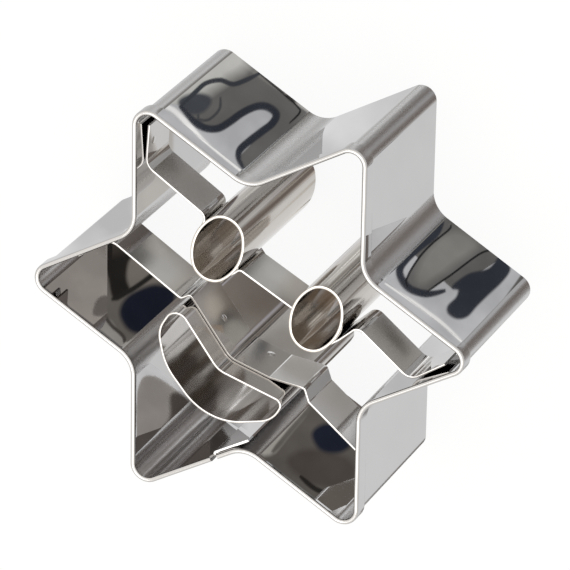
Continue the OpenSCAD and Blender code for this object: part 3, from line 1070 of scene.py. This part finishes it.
# %% The mouth strip and the eye strip
LEFT_OF_MOUTH, OVER_MOUTH, PAST_BEND = (165, 262), (235, 310), (285, 335)
GLOW_AT, SPECK_AT, STRIP_END, END_WALL = (213, 309), (220, 322), (303, 368), (330, 400)
BETWEEN_EYES, LEFT_ARM, RIGHT_ARM, LEFT_TIP = (275, 280), (190, 180), (395, 350), (150, 185)
strip_ground = [(112, 247), (148, 222), (206, 272), (188, 306), (165, 292)]
strip_dark = [(120, 247), (133, 237), (147, 229), (151, 235), (141, 243), (133, 253)]
strip_pale = [(150, 236), (164, 246), (158, 258), (145, 250)]
over_ground = [(190, 300), (232, 270), (330, 330), (320, 400), (240, 370)]
over_brown = [(220, 284), (232, 276), (256, 290), (288, 307), (284, 318), (262, 316), (244, 330), (232, 318),
              (222, 300)]
over_patch = [(220, 330), (232, 320), (244, 320), (256, 332), (256, 340), (247, 352), (248, 362), (236, 356),
              (224, 343)]
over_shade = [(214, 318), (226, 310), (238, 314), (236, 322), (226, 332), (218, 338)]
past_ground = [(236, 378), (258, 330), (292, 294), (334, 330), (300, 376), (268, 380)]
past_blot = [(252, 352), (258, 342), (267, 344), (265, 354), (257, 364), (250, 363)]
past_patch = [(244, 366), (246, 352), (256, 340), (256, 332), (262, 336), (250, 356)]
over_glow = [(208, 300), (216, 296), (222, 304), (220, 318), (212, 322), (206, 312)]
over_speck = [(222, 311), (226, 318), (218, 334), (214, 331)]
middle_ground = [(236, 262), (254, 248), (312, 284), (304, 306), (292, 306), (246, 278)]
middle_dark = [(240, 266), (250, 254), (258, 254), (256, 262), (248, 272)]
end_ground = [(302, 372), (330, 360), (364, 395), (352, 442), (310, 398)]
over_end = [(284, 350), (300, 346), (332, 366), (322, 396), (280, 372)]
wall_ground = [(126, 105), (172, 110), (172, 200), (126, 228)]
arm_ground = [(140, 160), (165, 142), (230, 196), (216, 214), (196, 216), (146, 176)]
arm_dark = [(146, 160), (166, 147), (176, 158), (177, 170), (162, 173), (148, 169)]
right_arm_ground = [(352, 330), (372, 308), (388, 314), (430, 360), (420, 382), (408, 384), (368, 340)]
right_arm_dark = [(372, 312), (385, 316), (398, 331), (410, 350), (404, 355), (390, 340), (376, 325)]
lay([
    (strip_ground, "#94908B", 1, LEFT_OF_MOUTH),
    (rounded(strip_dark), "#3F3C39", 4, LEFT_OF_MOUTH),
    (rounded(strip_pale), "#A19F9C", 5, LEFT_OF_MOUTH),
    (over_ground, "#8A8681", 1, OVER_MOUTH),
    (rounded(over_brown), "#5F5852", 4, OVER_MOUTH),
    (rounded(over_shade), "#4B4845", 4, OVER_MOUTH),
    (rounded(over_patch), "#8B8984", 1, OVER_MOUTH),
    (past_ground, "#83807C", 1, PAST_BEND),
    (rounded(past_blot), "#3C3C3E", 3, PAST_BEND),
    (rounded(past_patch), "#8E8C88", 1, PAST_BEND),
    (rounded(over_glow), "#A29C93", 4, GLOW_AT),
    (rounded(over_speck), "#3B3835", 2, SPECK_AT),
    (middle_ground, "#94918C", 1, BETWEEN_EYES),
    (rounded(middle_dark), "#3E3B38", 3, BETWEEN_EYES),
    (over_end, "#8B8986", 5, STRIP_END),
    (end_ground, "#918F8C", 1, END_WALL),
    (wall_ground, "#ABA8A3", 3, LEFT_TIP),
    (arm_ground, "#7C7A77", 1, LEFT_ARM),
    (rounded(arm_dark), "#56534F", 6, LEFT_ARM),
    (right_arm_ground, "#8A8883", 1, RIGHT_ARM),
    (rounded(right_arm_dark), "#4A4743", 3, RIGHT_ARM)])

# %% [markdown]
# ## Figures in the two outer walls that face the camera
# These two walls show the clearest figures: navy hooks and waves on a grey ground, with pale steel round
# them. A stroke is drawn along its middle line, because its width changes less than its way. Without a place
# to aim at, a card is aimed at its own middle, which is safe on a flat wall.

# %% The outer wall on the left
NAVY, INK, PALE = "#2E3138", "#1C1C1E", "#ACADAF"
LEFT_WALL = (240, 100)
left_ground = [(136, 112), (214, 46), (312, 116), (330, 126), (248, 196)]
left_pale = [(138, 110), (153, 101), (167, 104), (180, 106), (187, 113), (195, 122), (206, 128), (218, 128),
             (229, 122), (243, 112), (258, 108), (268, 110), (272, 117), (268, 125), (255, 135), (242, 145),
             (237, 153), (238, 163), (245, 170), (252, 178), (246, 198), (214, 180), (168, 140), (136, 118)]
left_tip_light = [(142, 108), (165, 86), (190, 64), (214, 44), (240, 60), (222, 74), (198, 90), (170, 104)]
left_end_light = [(258, 182), (276, 160), (300, 135), (318, 118), (335, 125), (300, 165), (275, 185)]
left_hook = [(180, 106), (187, 114), (195, 122), (206, 128), (218, 128), (229, 122), (243, 112), (257, 106),
             (268, 107), (276, 114), (272, 123), (262, 131), (250, 140), (240, 149), (238, 158), (243, 168)]
left_foot = [(240, 156), (252, 144), (266, 136), (266, 172), (252, 182), (244, 170)]
left_wave = [(182, 105), (195, 92), (206, 83), (220, 80), (233, 84), (246, 80), (261, 72)]
left_blot = [(180, 102), (189, 96), (200, 95), (209, 99), (206, 107), (197, 112), (187, 110)]
left_curl = [(220, 97), (219, 109), (209, 119), (199, 119), (198, 114)]
left_edge = [(258, 72), (285, 95), (298, 107), (299, 113), (289, 123)]
left_hem = [(155, 104), (172, 109), (188, 124), (203, 141), (219, 156), (237, 171), (250, 179)]
lay([
    (left_ground, "#5F5E5C", 1),
    (rounded(left_tip_light), "#B4B4B0", 15, LEFT_WALL),
    (rounded(left_end_light), "#A4A4A2", 12, LEFT_WALL),
    (rounded(left_pale), PALE, 1.5),
    (left_foot, "#5F5E5C", 1.5, LEFT_WALL),
    (rounded(left_blot), "#3F4247", 4),
    (stroke(left_hook, 6), NAVY, 1.6, LEFT_WALL),
    (stroke(left_wave, 3.5), "#36393E", 1.2, LEFT_WALL),
    (stroke(left_curl, 1.6), "#3F4043", 1, LEFT_WALL),
    (stroke(left_edge, 1.2), INK, 0.7, LEFT_WALL),
    (stroke(left_hem, 3.5), "#E2E2E0", 1.5, LEFT_WALL)])

# %% The outer wall on the right
RIGHT_WALL = (450, 260)
right_ground = [(366, 275), (445, 208), (528, 270), (466, 364)]
right_pale = [(384, 267), (442, 212), (445, 217), (426, 234), (409, 250), (397, 263), (395, 273), (405, 287),
              (415, 296), (430, 298), (453, 290), (449, 306), (449, 314), (457, 320), (469, 318), (509, 275),
              (505, 256), (519, 261), (523, 271), (478, 335), (466, 364), (415, 332), (378, 300), (366, 275)]
right_leaf = [(451, 225), (480, 238), (496, 248), (484, 252), (471, 260), (451, 275), (428, 291), (411, 289),
              (407, 279), (417, 261), (430, 246), (449, 230)]
right_leaf_glow = [(452, 236), (474, 244), (455, 258), (432, 276), (420, 280), (428, 258)]
right_leaf_side = [(443, 222), (436, 234), (420, 247), (407, 259), (400, 270), (403, 281), (412, 290),
                   (428, 294), (445, 291)]
right_leaf_left = [(451, 225), (449, 230), (430, 246), (417, 261), (407, 279), (408, 287)]
right_leaf_right = [(428, 291), (451, 275), (471, 260), (484, 252), (498, 249)]
right_blot = [(453, 287), (469, 275), (490, 269), (502, 255), (507, 263), (509, 271), (500, 283), (488, 294),
              (476, 306), (467, 316), (457, 318), (449, 313), (449, 306), (457, 298), (459, 290)]
right_hem = [(384, 286), (399, 294), (415, 304), (429, 314), (442, 324), (459, 341), (468, 353)]
lay([
    (right_ground, "#5B5A58", 1),
    (right_pale, PALE, 1.5),
    (rounded(right_leaf), "#62615F", 1),
    (rounded(right_leaf_glow), "#757470", 8),
    (rounded(right_blot), NAVY, 2.5),
    (stroke(right_leaf_side, 6), NAVY, 1.6, RIGHT_WALL),
    (stroke(right_leaf_left, 1.3), INK, 0.7, RIGHT_WALL),
    (stroke(right_leaf_right, 1.3), INK, 0.7, RIGHT_WALL),
    (stroke(right_hem, 3.5), "#DCDCDA", 1.5, RIGHT_WALL)])

# %% Two figures that lie over all the others
BESIDE_VALLEY, P4_TWO = (385, 235), (335, 495)
valley_side = [(363, 231), (406, 217), (407, 222), (379, 266), (363, 276)]
right_end = [(312, 500), (333, 483), (358, 477), (358, 514), (338, 520)]
lay([
    (valley_side, "#B9B9BA", 1, BESIDE_VALLEY),
    (right_end, "#57524D", 1, P4_TWO)])
print("figures in all:", len(cards))

# %% [markdown]
# ## Light
# A wide soft box hangs over the star and a pale room is all round it. The rim is round, so it always finds
# the box and shows a bright line. A few small lamps would put hard sparks on every bend instead.

# %% The soft box
BOX_PLACE = Vector((0.05, -0.1, 0.9))
lamp = bpy.data.lights.new("over_box", "AREA")
lamp.size = 0.8
lamp.energy = 4
box = put("over_box", lamp)
box.location = BOX_PLACE
box.rotation_euler = BOX_PLACE.to_track_quat("Z", "Y").to_euler()
print("the soft box is", lamp.size, "m wide and", BOX_PLACE.z, "m up")

# %% The pale room, brighter overhead for mirrors
ROOM_PLAIN = 0.9
ROOM_LOW, ROOM_HIGH = 0.5, 1.35
LOW_WAY, HIGH_WAY = -0.1, 0.45
world = bpy.data.worlds.new("pale_room")
world.use_nodes = True
tree = world.node_tree
place = node(tree, "ShaderNodeTexCoord").outputs["Generated"]
way_up = node(tree, "ShaderNodeSeparateXYZ", {0: place}).outputs["Z"]
ceiling = node(tree, "ShaderNodeMapRange",
               {"Value": way_up, "From Min": LOW_WAY, "From Max": HIGH_WAY,
                "To Min": ROOM_LOW, "To Max": ROOM_HIGH})
path = node(tree, "ShaderNodeLightPath").outputs["Is Glossy Ray"]
level = node(tree, "ShaderNodeMix", {0: path, 2: ROOM_PLAIN, 3: ceiling}, data_type="FLOAT")
fill(tree.nodes["Background"], {"Color": linear("#FFFBF5"), "Strength": level})
bpy.context.scene.world = world
bpy.context.scene.view_settings.view_transform = "Standard"
